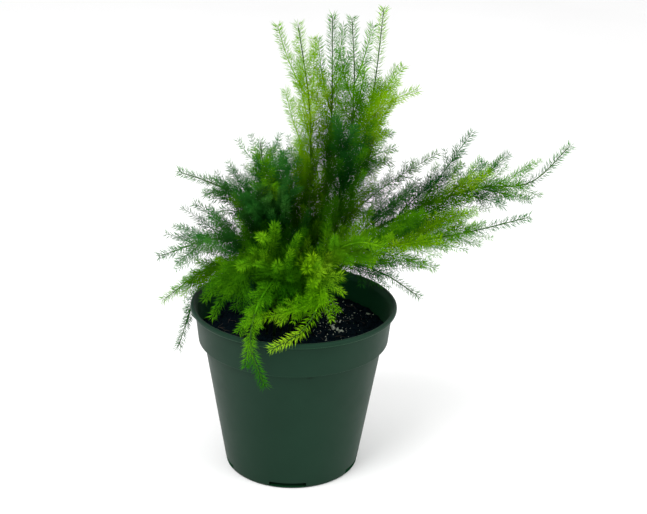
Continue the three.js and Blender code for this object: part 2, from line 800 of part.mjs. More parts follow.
// Raises a shaft from its first ring, with needles at the stations where nothing leaves it, then each side
// shaft from the triangle it roots on.
function raiseShaft(points, faces, shaft, firstRing, firstTurn) {
  const { line, radii } = shaft;
  const stations = shaft.stations.sort((a, b) => a.at - b.at);
  const radiusAt = (at) => mix(radii[0], radii[1], at / line.length);
  const rooted = [];
  let ring = firstRing;
  let turn = firstTurn;
  let reached = 0;

  const advance = (at) => {
    const next = addRing(points, spotOn(line, at), radiusAt(at), turn);
    const halves = wallHalves(ring, next);
    ring = next;
    reached = at;
    return halves;
  };

  for (const station of stations) {
    const isFork = station.children.length > 0;
    const near = station.at - WHORL_DEPTH / 2;
    const between = Math.floor((near - reached) / BARE_STEP);
    const gap = (near - reached) / (between + 1);
    for (let i = 0; i < between; i += 1) {
      faces.push(...advance(reached + gap));
    }
    turn = isFork
      ? nearestTurn(rootAngle(station, station.children[0]) - HALF_TURN / 2, turn, HALF_TURN)
      : turn + (ring === firstRing ? 0 : WHORL_TURN);
    faces.push(...advance(near));
    let halves = advance(station.at + WHORL_DEPTH / 2);
    for (const child of station.children) {
      const towards = rootAngle(station, child);
      const middles = halves.map((half) => angleOfTriangle(points, station, half));
      const fits = middles.map((middle) => Math.cos(middle - towards));
      const chosen = fits.indexOf(Math.max(...fits));
      rooted.push([child, halves[chosen]]);
      halves = halves.filter((half, i) => i !== chosen);
    }
    for (const half of halves) {
      const tip = isFork ? null : needleTip(shaft, station, half.map((corner) => points[corner]));
      if (tip) {
        const top = points.push(tip) - 1;
        faces.push([half[0], half[1], top], [half[1], half[2], top], [half[2], half[0], top]);
      } else {
        faces.push(half);
      }
    }
  }
  const apex = points.push(spotOn(line, line.length).point) - 1;
  faces.push([ring[0], ring[1], apex], [ring[1], ring[2], apex], [ring[2], ring[0], apex]);

  for (const [child, corners] of rooted) {
    raiseShaft(points, faces, child, corners, rootTurn(points, child, corners));
  }
}

// The turn at which a ring of a side shaft lies as close as it gets to the three corners of its root.
function rootTurn(points, child, corners) {
  const start = spotOn(child.line, ROOT_LENGTH);
  const centre = new THREE.Vector3();
  corners.forEach((corner) => centre.addScaledVector(points[corner], 1 / corners.length));
  const turns = corners.map((corner, i) => {
    const out = points[corner].clone().sub(centre);
    return angleAt(start, out) - i * CORNER_TURN;
  });
  const across = turns.reduce((sum, turn) => sum + Math.cos(turn), 0);
  const up = turns.reduce((sum, turn) => sum + Math.sin(turn), 0);
  return Math.atan2(up, across);
}

function angleOfTriangle(points, spot, corners) {
  const centre = new THREE.Vector3();
  corners.forEach((corner) => centre.addScaledVector(points[corner], 1 / 3));
  return angleAt(spot, centre.sub(spot.point));
}

// A whole leafy stem as one closed surface, from its foot in the mix.
function stemMesh(main) {
  const { name, leaf } = STEMS[main.place];
  const points = [];
  const faces = [];
  const ground = { ...spotOn(main.line, 0), tangent: new THREE.Vector3(0, 0, 1) };
  const foot = { ...ground, point: ground.point.clone().setZ(STEM_FOOT) };
  const bottom = addRing(points, foot, STEM_RADII[0], 0);
  const top = addRing(points, ground, STEM_RADII[0], 0);
  faces.push([bottom[2], bottom[1], bottom[0]], ...wallHalves(bottom, top));
  raiseShaft(points, faces, main, top, 0);
  const geometry = new THREE.BufferGeometry().setFromPoints(points);
  geometry.setIndex(faces.flat());
  return meshOf(name, solidOf(geometry), COLOURS[leaf], LEAF_ROUGHNESS);
}

// Stems and shoots are laid out first, twigs find room among them, and needles rise where there is room left.
function buildStems() {
  const mains = STEMS.map(growStem);
  mains.forEach(growShoots);
  mains.forEach(growTwigs);
  for (const main of mains) {
    main.stations.flatMap((station) => station.children).forEach((shaft) => addWhorls(shaft, FIRST_WHORL));
    addWhorls(main, main.line.length * STEM_WHORLS_FROM);
  }
  return mains.map(stemMesh);
}

const plant = new THREE.Group();
plant.name = "potted_lace_fern";
plant.add(meshOf("pot", buildPot(), COLOURS.pot, POT_ROUGHNESS));
plant.add(meshOf("soil", buildSoil(), COLOURS.soil, SOIL_ROUGHNESS));
plant.add(...buildStems());

export default plant;
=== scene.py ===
"""Looks of the potted lace fern: fine needles on every stem, a smooth pot and loose potting mix.

Lengths are written in millimetres and turned into metres where a mesh is made. Those of the floor, the lights
and the camera's clip range are in metres.
"""

import math
from collections import namedtuple
from functools import cache
from itertools import combinations

import bpy
import numpy as np
from mathutils import Matrix, Vector, noise


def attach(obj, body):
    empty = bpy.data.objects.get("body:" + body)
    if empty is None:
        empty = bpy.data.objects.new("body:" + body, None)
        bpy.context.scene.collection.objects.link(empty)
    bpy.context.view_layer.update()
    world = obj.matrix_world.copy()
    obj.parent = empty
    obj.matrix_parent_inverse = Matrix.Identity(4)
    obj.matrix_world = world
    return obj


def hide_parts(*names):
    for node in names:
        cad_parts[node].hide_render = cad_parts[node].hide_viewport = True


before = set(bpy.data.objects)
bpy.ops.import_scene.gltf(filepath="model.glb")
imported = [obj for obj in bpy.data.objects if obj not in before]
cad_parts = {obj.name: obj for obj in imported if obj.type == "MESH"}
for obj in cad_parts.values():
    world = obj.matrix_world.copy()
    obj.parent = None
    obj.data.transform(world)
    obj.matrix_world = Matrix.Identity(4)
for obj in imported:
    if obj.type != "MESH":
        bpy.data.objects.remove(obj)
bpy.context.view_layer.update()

MM = 0.001
TURN = 2 * math.pi
GOLDEN_ANGLE = 2.39996
WHITE = (1, 1, 1)

# Seeds of the random draws; each stem adds its place in the table of stems to the last one.
GRIT_SEED = 7
PERLITE_SEED = 8
FIBRE_SEED = 9
STEM_SEED = 107

# Fixed numbers that spread a few keys into what looks like chance
CHANCE_START = 0.5
CHANCE_FIRST = 12.9898
CHANCE_NEXT = 65.2432
CHANCE_SPREAD = 43758.5453
LENGTH_DRAW, ANGLE_DRAW, DRIFT_DRAW = 1, 2, 3

# Camera, as a fit to the pot's ellipses gives it
IMAGE_WIDTH = 647
FOCAL_PIXELS = 1214.48
SENSOR_WIDTH = 36
CAMERA_PLACE = (30.99, -570, 328.67)
CAMERA_PITCH = 0.361
CAMERA_YAW = -0.029
CAMERA_ROLL = 0.025
CLIP_RANGE = (0.01, 100)

# Floor and lights
FLOOR_SIDES = 96
FLOOR_RADIUS = 6
FLOOR_COLOURS = [(0.3, (0.86,) * 3), (0.7, (0.9,) * 3)]
LIGHT_AIM = (0.02, 0, 0.12)
LIGHT_SIZE = 0.8
LIGHTS = [("key", (-0.5, -0.7, 1.3), 14), ("fill", (0.9, -0.4, 0.7), 5)]

# Pot
RIM_RADIUS = 52.5
POT_HEIGHT = 88.5
BASE_RADIUS = 35
POT_PROFILE = [
    (33.9, 0), (34.7, 0.6), (BASE_RADIUS, 2),
    (45.9, 69.7), (48.6, 69.7),
    (50.3, 86), (52.1, 86.1), (RIM_RADIUS, 86.7), (RIM_RADIUS, 87.9),
    (52, POT_HEIGHT), (50.9, POT_HEIGHT), (50.4, 88),
    (49.2, 85.4), (47.5, 71.4), (46.9, 70.9), (44.8, 70.8),
    (33.9, 4), (31.2, 1.4),
]
POT_SEGMENTS = 168
CORNER_ROUND = 0.35
CORNER_SHARE = 0.4
CORNER_STEPS = 4
SHARP_DEGREES = 38
SLOT_COUNT = 5
SLOT_WIDTH = 19
SLOT_LOW = 0.8
SLOT_HIGH = 3.3
SLOT_DEPTH = 10
SLOT_INNER_RADIUS = 29

# Potting mix: its waves repeat by radians a millimetre along x and y
SOIL_LEVEL = 74
SOIL_EDGE_RADIUS = 47.3
SOIL_SIDES = [(47.1, 71.9), (46.8, 71.4), (44.4, 71.2), (44.2, 70.3), (33.4, 4.4), (31, 1.8)]
SOIL_RINGS = 44
SOIL_SEGMENTS = 132
SLOW_WAVES = (0.13, 0.11)
SLOW_SHIFTS = (0.8, -0.5)
SLOW_HEIGHT = 0.55
FINE_WAVES = ((0.71, 0.34), (-0.21, 0.63))
FINE_HEIGHT = 0.4
GRAIN_LAYER = 3
GRAIN_SCALE = 0.35
GRAIN_DIMENSION = 0.9
GRAIN_LACUNARITY = 2.1
GRAIN_OCTAVES = 4
GRAIN_HEIGHT = 0.75

# Crumbs and flakes on the mix: sizes are half widths, and the lift of a centre is a share of the size.
LUMP_LIFT = 0.15
LUMP_VARIETY = (0.72, 1.2)
LUMP_EDGE_MARGIN = 1.01
GRIT_COUNT = 1300
GRIT_SIZES = (0.25, 0.75)
GRIT_SHAPE = (1, 0.75, 0.6)
GRIT_EDGE_GAP = 0.6
CHIP_EVERY = 9
CHIP_SIZES = (0.9, 1.9)
PERLITE_COUNT = 150
PERLITE_SIDE = (23, 12)
PERLITE_SPREAD = (7, 13)
PERLITE_STRAY_EVERY = 5
PERLITE_EDGE_GAP = 3
PERLITE_SIZES = (0.25, 0.65)
PERLITE_SHAPE = (1.35, 0.7, 0.35)
PERLITE_VARIETY = (0.7, 1.2)
PERLITE_LUMPS = [
    (20.6, 0.2, 1.9), (23.8, -1.4, 1.6), (22.4, -0.4, 1.5), (23.6, 9.2, 1), (21.2, 9, 0.6),
    (17.2, 13.9, 0.9), (24.6, 34.9, 0.9), (21.4, 33.2, 0.8), (29.5, 31.2, 1.1), (38.2, 19.8, 1.2),
    (34.4, 24.8, 0.7), (40.8, 20, 0.5), (29.7, 19, 0.6), (20.1, 22.1, 0.9), (17.2, -15.1, 0.6),
    (-29.8, -13.2, 0.6),
]

# Root and bark fibres on the mix
FIBRE_COUNT = 70
FIBRE_EDGE_GAP = 6
FIBRE_LENGTHS = (2, 7)
FIBRE_SHARES = (-0.5, 0.1, 0.5)
FIBRE_BEND = 0.6
FIBRE_LIFTS = (0.15, 0.6)
FIBRE_RADII = (0.16, 0.07)
FIBRE_SIDES = 4

# How lines are traced, and tubes laid on them. A place on a line, counted in its points, stays short of their
# number by END_STEPS.
ARC_DIVISIONS = 200
SAMPLE_STEP = 2
FEWEST_SAMPLES = 4
END_STEPS = 1.0001
RING_STEP = 3
FEWEST_RINGS = 3

# Stems, shoots and twigs: radii are those at the foot and at the tip. Bark covers the main stems, in front up
# to FRONT_BARK_HEIGHT only.
STEM_FOOT = 66.4
STEM_START = 75.6
FOOT_OVERLAP = 1
STEM_RADII = (0.8, 0.22)
STEM_SIDES = 6
STEM_BARE_SHARE = 0.42
FRONT_BARK_HEIGHT = 104
SHOOT_RADII = (0.36, 0.13)
SHOOT_SIDES = 5
SHOOT_BARE_LENGTH = 2.5
SHOOT_LEAVE_ANGLE = 0.55
TWIG_RADII = (0.2, 0.08)
TWIG_SIDES = 3
TWIG_BARE_LENGTH = 1.2
TWIG_LEAVE_ANGLE = 0.9
BEND_SHARE = 0.45

# Where twigs grow on a stem or shoot, as shares of its length, and how they spread
TWIGS_FROM = 0.16
FULLEST_AT = 0.4
TWIG_LENGTHS = (26, 11)
TWIG_STEP = 1.8
TWIG_ANGLE = 0.65
TWIG_LIFT = 0.08
TWIG_VARIETY = 0.3
TWIG_SWERVE = 0.4
SIDE_TWIG_LENGTHS = (12, 6.5)
SIDE_TWIG_STEP = 1.7
SIDE_TWIG_ANGLE = 0.85
SIDE_TWIG_DRIFT = 0.25

# Shoots are numbered from this key on, with room for this many on each stem.
FIRST_SHOOT_KEY = 40
KEYS_A_STEM = 17

# Whorls of needles
WHORL_STEP = 1.5
PLUME_WHORL_STEP = 1
WHORL_JITTER = 0.3
LAST_WHORL = 0.3
NEEDLES_A_WHORL = 7
FRONT_NEEDLES_A_WHORL = 9
TIP_REACH = 18

# Needles: the belly's place and lift and the tip's sweep are shares of a needle's length.
NEEDLE_LENGTH = 4.7
NEEDLE_LENGTH_RANGE = (0.7, 1.12)
NEEDLE_WIDTH = 0.13
NEEDLE_LEAN = 1.12
LEAN_JITTER = 0.22
TURN_JITTER = 0.35
NEEDLE_SLIDE = 0.2
FOOT_LIFT = 0.08
BELLY_PLACE = 0.4
BELLY_LIFT = 0.05
TIP_SWEEP = 0.1
NEEDLE_POINTS = 5
NEEDLE_FACES = np.array([[0, 2, 1], [0, 3, 2], [0, 1, 3], [1, 2, 4], [2, 3, 4], [3, 1, 4]])

# Needles at the very end of a twig, and of a stem or shoot: their length and width beside the plain ones, and
# their lean
TWIG_END = (0.62, 1, 0.85)
PLUME_END = (0.85, 1.25, 1.05)

# Colours, most of them as stops of a ramp: a place from 0 to 1 and a linear colour
LEAF_STOPS = (0.33, 0.5, 0.68)
LEAF_COLOURS = {
    "young": [(0.12, 0.32, 0.004), (0.22, 0.48, 0.004), (0.36, 0.62, 0.02)],
    "grown": [(0.04, 0.18, 0.004), (0.09, 0.31, 0.005), (0.2, 0.48, 0.008)],
    "old": [(0.014, 0.11, 0.014), (0.035, 0.19, 0.025), (0.09, 0.29, 0.04)],
}
NEEDLE_TINTS = [(0.3, (0.72,) * 3), (0.7, (1.25,) * 3)]
BARK_COLOURS = [(0.35, (0.02, 0.06, 0.008)), (0.6, (0.04, 0.11, 0.012)), (0.8, (0.08, 0.13, 0.02))]
POT_COLOURS = [(0.3, (0.0055, 0.0245, 0.013)), (0.75, (0.0075, 0.03, 0.0165))]
POT_ROUGHNESS = (0.4, 0.58)
# Painted shade colour: the inner wall's plastic, in shade, is made greener and less red.
INNER_WALL_SHADE_TINTS = [(0, (0.45, 1.9, 1.1)), (0.01, WHITE)]
SOIL_COLOURS = [
    (0.3, (0.0008, 0.003, 0.0055)), (0.6, (0.0025, 0.008, 0.012)), (0.85, (0.009, 0.021, 0.024)),
]
PERLITE_COLOURS = [(0.35, (0.1, 0.12, 0.09)), (0.5, (0.32, 0.36, 0.28)), (0.7, (0.72, 0.76, 0.64))]
FIBRE_COLOURS = [(0.35, (0.012, 0.008, 0.005)), (0.7, (0.06, 0.04, 0.024))]
NOISE_ROUGHNESS = 0.55

# Dark spots: the centre, the radii and the brightness at the centre of each. The core is the share of the
# radii that is darkest, in its tint. The painted shade spots darken needles where shade falls: in crowded
# places inside the plant and on the hanging plume below the rim.
SPOT_CORE = 0.35
SPOT_TINT = (0.6, 1, 0.8)
SMUDGE = ((10.9, -46.5, 67.5), (2.6, 4, 0.9), 0.35)
FOOT_SHADE = ((0, 0, 74), (60, 60, 44), 0.12)
PAINTED_SHADE_SPOTS = [
    ((-4, 4, 122), (62, 50, 60), 0.3),
    ((22, 0, 166), (24, 28, 40), 0.4),
    ((60, 2, 147), (44, 38, 28), 0.36),
    ((6, -30, 104), (42, 30, 24), 0.7),
    ((-14, -8, 132), (27, 34, 17), 0.4),
    ((-14, -58, 77), (15, 12, 24), 0.62),
]

# Each stem: its leaf, its root in the mix, the points it passes, its tip, and its shoots as the share of the
# stem's length where one leaves, the place of its tip and its own leaf where that differs.
STEMS = [
    ("frond_top_left", "young", (-9, 3), [(4, 3, 113), (7, -1, 169), (6, -3, 192)], (0, -5, 231), [
        (0.53, (1, -16, 178)), (0.57, (-5, -12, 201)), (0.62, (1, 8, 192)), (0.64, (11, 14, 206)),
        (0.67, (0, 4, 207)), (0.74, (7, 2, 223)), (0.77, (-9, -14, 232)),
    ]),
    ("frond_top_centre", "grown", (-4, 8), [(9, 8, 114), (16, 4, 168)], (16, -2, 235), [
        (0.54, (10, 14, 190)), (0.56, (24, -8, 196)), (0.59, (19, 17, 197)), (0.7, (9, 8, 222)),
        (0.76, (25, 10, 214)), (0.81, (21, -8, 231)),
    ]),
    ("frond_top_right", "grown", (2, 3), [(15, 2, 116), (25, -3, 165), (27, -6, 206)], (25, -7, 235), [
        (0.55, (19, -16, 190), "old"), (0.57, (28, -18, 186), "old"), (0.59, (32, 6, 190)),
        (0.62, (37, -12, 201), "young"), (0.7, (32, -16, 214)), (0.75, (20, -14, 221)),
        (0.8, (35, 2, 230)),
    ]),
    ("frond_top_far_right", "young", (8, 8), [(20, 9, 111), (31, 14, 160), (37, 15, 200)], (40, 18, 236), [
        (0.35, (70, 18, 164), "grown"), (0.48, (47, 10, 162), "grown"), (0.51, (49, 22, 165), "grown"),
        (0.54, (40, -2, 180)), (0.57, (43, 24, 183)), (0.59, (47, 29, 170), "grown"),
        (0.62, (47, 14, 191)), (0.63, (43, 0, 197)), (0.66, (59, 26, 194)), (0.69, (48, 6, 203)),
        (0.7, (51, 22, 207)),
    ]),
    ("frond_left_bush", "old", (-15, -2), [(-6, -4, 115), (-14, -8, 152)], (-17, -10, 176), [
        (0.51, (-20, -24, 147)), (0.54, (-24, -20, 151)), (0.55, (-31, -8, 146), "grown"),
        (0.57, (-20, -16, 163)), (0.58, (-5, -18, 173)), (0.62, (-12, 2, 168), "grown"),
        (0.65, (-14, -19, 169), "grown"), (0.72, (-20, -6, 171), "grown"),
    ]),
    ("frond_left_behind", "grown", (-13, 12), [(-3, 13, 111), (-1, 18, 150)], (1, 22, 167), [
        (0.54, (-15, 30, 135)), (0.57, (11, 17, 147)), (0.59, (-11, 12, 153)), (0.61, (5, 6, 159)),
        (0.63, (-8, 26, 161)), (0.68, (8, 28, 162)),
    ]),
    ("frond_left_high", "old", (-20, 5), [(-12, 4, 117), (-26, 3, 141), (-41, 0, 150)], (-58, -4, 157), [
        (0.3, (-34, 9, 128)), (0.44, (-27, 15, 147)), (0.5, (-31, -7, 153)), (0.53, (-36, -14, 141)),
        (0.57, (-34, 10, 156)), (0.61, (-43, 13, 138)), (0.68, (-46, 10, 150)), (0.73, (-44, -12, 148)),
    ]),
    ("frond_left_middle", "old", (-19, -5), [(-16, -7, 112), (-34, -13, 126)], (-66, -20, 118), [
        (0.42, (-27, -3, 134)), (0.48, (-36, -2, 131)), (0.52, (-49, -10, 143)), (0.55, (-48, -4, 132)),
        (0.57, (-39, -24, 141)), (0.6, (-44, -25, 126)), (0.68, (-55, -6, 123)), (0.74, (-55, -26, 118)),
    ]),
    ("frond_left_low", "grown", (-23, 1), [(-18, 2, 103), (-41, 6, 104)], (-69, 8, 83), [
        (0.46, (-42, -4, 95)), (0.49, (-52, 16, 102)), (0.52, (-48, -7, 100)), (0.6, (-62, 0, 92)),
        (0.7, (-59, 14, 84)),
    ]),
    ("frond_left_drop", "old", (-18, 14), [(-17, 18, 98), (-40, 26, 98), (-51, 26, 86)], (-63, 18, 51), [
        (0.5, (-53, 34, 89)), (0.76, (-59, 24, 63)),
    ]),
    ("frond_front_left", "grown", (-13, -9), [(-9, -16, 114), (-21, -28, 120)], (-26, -34, 98), [
        (0.57, (-38, -22, 107)), (0.6, (-33, -34, 119)), (0.63, (-24, -42, 123)), (0.66, (-43, -22, 97)),
        (0.7, (-38, -30, 91)), (0.76, (-31, -33, 102)), (0.78, (-18, -40, 105)),
    ]),
    ("frond_front_bright", "young", (3, -7), [(9, -18, 117), (15, -38, 109), (7, -50, 95)], (-8, -58, 88), [
        (0.45, (22, -24, 120)), (0.49, (4, -30, 122)), (0.52, (24, -34, 117)), (0.54, (4, -42, 99)),
        (0.57, (16, -46, 107)), (0.62, (-19, -44, 98)),
    ]),
    ("frond_front_hanging", "grown", (-6, -8), [(-1, -16, 113), (-13, -42, 108), (-17, -57, 92)],
     (-10, -57, 68), [
        (0.63, (-23, -50, 93)), (0.75, (-19, -58, 79)),
    ]),
    ("frond_front_small", "grown", (-2, -13), [(3, -20, 111), (-3, -30, 116)], (-18, -34, 116), [
        (0.62, (6, -34, 98)), (0.66, (-4, -37, 94)), (0.7, (-13, -38, 99)), (0.77, (-6, -40, 124)),
    ]),
    ("frond_right_main", "grown", (10, 1), [(23, 4, 115), (48, 6, 132), (88, 0, 152), (113, -7, 158)],
     (130, -13, 179), [
        (0.28, (65, 16, 123), "old"), (0.31, (76, 10, 132), "old"), (0.3, (60, 16, 147), "old"),
        (0.33, (58, -4, 153), "old"), (0.37, (83, -6, 141), "old"), (0.42, (86, -14, 152)),
        (0.44, (79, 2, 160), "old"), (0.49, (94, -14, 165), "young"), (0.5, (86, 14, 177), "old"),
        (0.6, (90, -8, 168), "old"), (0.63, (101, -16, 149), "old"), (0.66, (104, 8, 168), "old"),
        (0.69, (116, 0, 147), "old"),
    ]),
    ("frond_right_low", "grown", (9, -6), [(21, -8, 114), (52, -20, 129), (83, -28, 139)],
     (111, -32, 149), [
        (0.36, (58, -8, 134), "old"), (0.4, (71, -10, 113)), (0.44, (62, -30, 149)),
        (0.47, (71, -33, 137), "young"), (0.5, (88, -18, 139), "young"), (0.54, (80, -22, 133), "young"),
        (0.58, (87, -30, 150), "young"),
    ]),
    ("frond_right_back", "old", (12, 13), [(24, 19, 102), (45, 30, 94)], (66, 32, 80), [
        (0.46, (34, 22, 90)), (0.55, (53, 38, 97)),
    ]),
    ("frond_front_right", "grown", (5, -12), [(16, -14, 116), (32, -28, 132)], (45, -32, 131), [
        (0.6, (28, -34, 124)), (0.66, (39, -30, 122)), (0.74, (40, -18, 135)),
    ]),
    ("frond_front_tuft", "grown", (-9, -14), [(-8, -20, 117), (-12, -34, 134)], (-14, -42, 138), [
        (0.66, (-20, -30, 128)), (0.72, (-8, -34, 141)),
    ]),
    ("frond_back_left", "grown", (-8, 16), [(-4, 22, 114), (-20, 46, 127)], (-28, 58, 126), [
        (0.56, (-13, 36, 144)), (0.66, (-32, 40, 120)), (0.74, (-14, 56, 130)),
    ]),
    ("frond_back_right", "old", (3, 16), [(14, 24, 116), (33, 48, 131)], (42, 60, 132), [
        (0.57, (24, 34, 146)), (0.67, (39, 44, 121)), (0.75, (26, 60, 133)),
    ]),
    ("frond_back_low", "grown", (-2, 20), [(5, 30, 111), (7, 50, 114)], (8, 70, 97), [
        (0.54, (-6, 56, 110)), (0.6, (19, 58, 108)),
    ]),
]

# Small shoots that fill a spray between its larger ones, written in the same way.
SMALL_SHOOTS = {
    "frond_top_centre": [(0.46, (18, 8, 178), "old"), (0.44, (26, 10, 170), "old")],
    "frond_top_right": [
        (0.44, (24, -12, 172), "old"), (0.47, (30, -12, 176), "old"), (0.48, (16, 0, 178), "old"),
        (0.5, (34, -4, 182), "old"), (0.52, (22, -10, 184), "old"),
    ],
    "frond_top_far_right": [(0.46, (37, 6, 174), "old")],
    "frond_left_bush": [(0.38, (-26, -12, 130)), (0.35, (-24, -8, 124)), (0.44, (-27, -14, 139))],
    "frond_left_high": [(0.36, (-26, 2, 132)), (0.4, (-30, -4, 136))],
    "frond_left_middle": [(0.38, (-31, -10, 122)), (0.43, (-36, -14, 119)), (0.49, (-43, -12, 118))],
    "frond_left_low": [(0.4, (-38, -6, 100)), (0.45, (-46, -10, 98))],
    "frond_front_left": [
        (0.5, (-30, -20, 110)), (0.54, (-36, -12, 98)), (0.6, (-40, -16, 104)), (0.63, (-34, -26, 104)),
        (0.65, (-28, -34, 108)), (0.72, (-22, -34, 96)),
    ],
    "frond_front_bright": [
        (0.42, (8, -40, 122)), (0.44, (15, -40, 120)), (0.46, (10, -36, 127)), (0.5, (11, -42, 115)),
    ],
    "frond_right_main": [(0.37, (72, -2, 134), "old"), (0.4, (80, -4, 137), "old")],
    "frond_right_low": [(0.34, (50, -14, 116), "old")],
}

# How a stem carries its twigs: how long they are beside the plain rule on the stem and on its shoots, and the
# length of the bare plumes at the ends of both.
PLAIN_HABIT = (1, 0.8, 26, 15)
HABITS = {
    "frond_top_left": (0.75, 0.4, 18, 28),
    "frond_top_centre": (0.8, 0.5, 34, 20),
    "frond_top_right": (0.85, 0.5, 34, 18),
    "frond_top_far_right": (0.85, 0.7, 38, 13),
    "frond_left_bush": (1.1, 0.9, 10, 5),
    "frond_left_behind": (1.1, 1, 10, 5),
    "frond_left_high": (0.7, 0.45, 22, 10),
    "frond_left_middle": (1.1, 0.42, 16, 11),
    "frond_left_low": (0.55, 0.45, 22, 10),
    "frond_left_drop": (0.3, 0.45, 22, 14),
    "frond_front_bright": (0.58, 0.7, 32, 17),
    "frond_front_hanging": (0.4, 0.4, 32, 17),
    "frond_right_main": (0.9, 0.65, 30, 12),
    "frond_right_low": (0.75, 0.52, 28, 6),
}

# Stems whose own needles, which show out to the tip, are of another leaf than their twigs
TIP_LEAVES = {"frond_right_main": "old", "frond_right_low": "old"}

# A line has points a step apart, with a tangent and a normal at each. A shaft is a stem, shoot or twig, with
# the distance from its foot at which its needles begin.
Line = namedtuple("Line", "points tangents normals length step")
Spots = namedtuple("Spots", "points tangents normals")
Shaft = namedtuple("Shaft", "line radii sides needles_from leaf")


# Numbers and vectors


def chance(*keys):
    """A number between 0 and 1 that looks random and is the same on every run."""
    mixed = CHANCE_START + sum(key * (CHANCE_FIRST + CHANCE_NEXT * place) for place, key in enumerate(keys))
    wave = math.sin(mixed) * CHANCE_SPREAD
    return wave - math.floor(wave)


def mix(start, end, share):
    return start + (end - start) * share


def unit(vectors):
    return vectors / np.linalg.norm(vectors, axis=-1, keepdims=True)


def without(vectors, axes):
    """The part of each vector that is square to its axis, at length one."""
    along = np.sum(vectors * axes, axis=-1, keepdims=True)
    return unit(vectors - along * axes)


# Lines that stems, shoots and twigs grow along


def catmull_rom(points, shares):
    """Points of a centripetal Catmull-Rom curve through the given ones."""
    points = np.array(points, float)
    before = 2 * points[0] - points[1]
    after = 2 * points[-1] - points[-2]
    padded = np.vstack([before, points, after])
    place = np.asarray(shares) * (len(points) - 1)
    index = np.minimum(place.astype(int), len(points) - 2)
    t = (place - index)[:, None]
    x0, x1, x2, x3 = (padded[index + step] for step in range(4))
    d0, d1, d2 = (
        np.sqrt(np.linalg.norm(b - a, axis=1))[:, None] for a, b in ((x0, x1), (x1, x2), (x2, x3))
    )
    out = ((x1 - x0) / d0 - (x2 - x0) / (d0 + d1) + (x2 - x1) / d1) * d1
    into = ((x2 - x1) / d1 - (x3 - x1) / (d1 + d2) + (x3 - x2) / d2) * d1
    return (
        x1 + out * t + (3 * (x2 - x1) - 2 * out - into) * t**2 + (2 * (x1 - x2) + out + into) * t**3
    )


def bezier(start, bend, end, shares):
    t = np.asarray(shares)[:, None]
    return (1 - t) ** 2 * start + 2 * (1 - t) * t * bend + t**2 * end


def trace_line(curve):
    """Evenly spaced points of a curve, each with a tangent and a normal that doesn't spin along the line."""
    shares = np.linspace(0, 1, ARC_DIVISIONS + 1)
    steps = np.linalg.norm(np.diff(curve(shares), axis=0), axis=1)
    reached = np.concatenate([[0], np.cumsum(steps)])
    length = reached[-1]
    count = max(FEWEST_SAMPLES, math.ceil(length / SAMPLE_STEP))
    points = curve(np.interp(np.linspace(0, length, count + 1), reached, shares))
    after = np.vstack([points[1:], points[-1:]])
    before = np.vstack([points[:1], points[:-1]])
    tangents = unit(after - before)
    normal = np.zeros(3)
    normal[np.argmin(np.abs(tangents[0]))] = 1
    normals = []
    for tangent in tangents:
        normal = without(normal, tangent)
        normals.append(normal)
    return Line(points, tangents, np.array(normals), length, length / count)


def line_through(points):
    return trace_line(lambda shares: catmull_rom(points, shares))


def spots_on(line, distances):
    """Places on a line at distances from its foot. Those beyond an end are moved to it."""
    place = np.clip(np.asarray(distances) / line.step, 0, len(line.points) - END_STEPS)
    index = place.astype(int)
    share = (place - index)[:, None]
    points = mix(line.points[index], line.points[index + 1], share)
    tangents = unit(mix(line.tangents[index], line.tangents[index + 1], share))
    normals = without(mix(line.normals[index], line.normals[index + 1], share), tangents)
    return Spots(points, tangents, normals)


def spot_on(line, distance):
    spots = spots_on(line, [distance])
    return Spots(spots.points[0], spots.tangents[0], spots.normals[0])


def directions(spots, angles):
    """Directions square to the line at each spot, at the given angles round it."""
    across = np.cross(spots.tangents, spots.normals)
    along_normal = np.cos(angles)[..., None] * spots.normals[:, None, :]
    return along_normal + np.sin(angles)[..., None] * across[:, None, :]


def side_line(spot, side, tip, angle):
    """A line that leaves a spot at an angle to it, towards a side, and bends to its own tip."""
    reach = np.linalg.norm(tip - spot.points) * BEND_SHARE
    bend = spot.points + reach * (math.cos(angle) * spot.tangents + math.sin(angle) * side)
    return trace_line(lambda shares: bezier(spot.points, bend, tip, shares))


def shoot_line(spot, tip):
    tip = np.array(tip, float)
    return side_line(spot, without(tip - spot.points, spot.tangents), tip, SHOOT_LEAVE_ANGLE)


def twig_line(spot, angle, length, lean, drift):
    """A twig that leaves towards an angle round a spot. Its tip drifts aside by a share of its length."""
    across = np.cross(spot.tangents, spot.normals)
    side = math.cos(angle) * spot.normals + math.sin(angle) * across
    around = math.cos(angle) * across - math.sin(angle) * spot.normals
    way = math.cos(lean) * spot.tangents + math.sin(lean) * side + drift * around
    tip = spot.points + length * way
    tip[2] += length * TWIG_LIFT
    return side_line(spot, side, tip, TWIG_LEAVE_ANGLE)


def twigs_along(line, key, leaf, plume, step, lengths, lean=TWIG_ANGLE, drift=0):
    """Twigs set spirally along a line, longest where it is fullest, with none on the plume at its end."""
    twigs = []
    start = line.length * TWIGS_FROM
    count = math.floor((line.length - plume - start) / step)
    for i in range(count):
        distance = start + i * step
        longest = mix(*lengths, abs(distance / line.length - FULLEST_AT) / (1 - FULLEST_AT))
        length = longest * mix(1 - TWIG_VARIETY, 1 + TWIG_VARIETY, chance(key, i, LENGTH_DRAW))
        angle = i * GOLDEN_ANGLE + mix(-TWIG_SWERVE, TWIG_SWERVE, chance(key, i, ANGLE_DRAW))
        aside = mix(-drift, drift, chance(key, i, DRIFT_DRAW))
        twig = twig_line(spot_on(line, distance), angle, length, lean, aside)
        twigs.append(Shaft(twig, TWIG_RADII, TWIG_SIDES, TWIG_BARE_LENGTH, leaf))
    return twigs


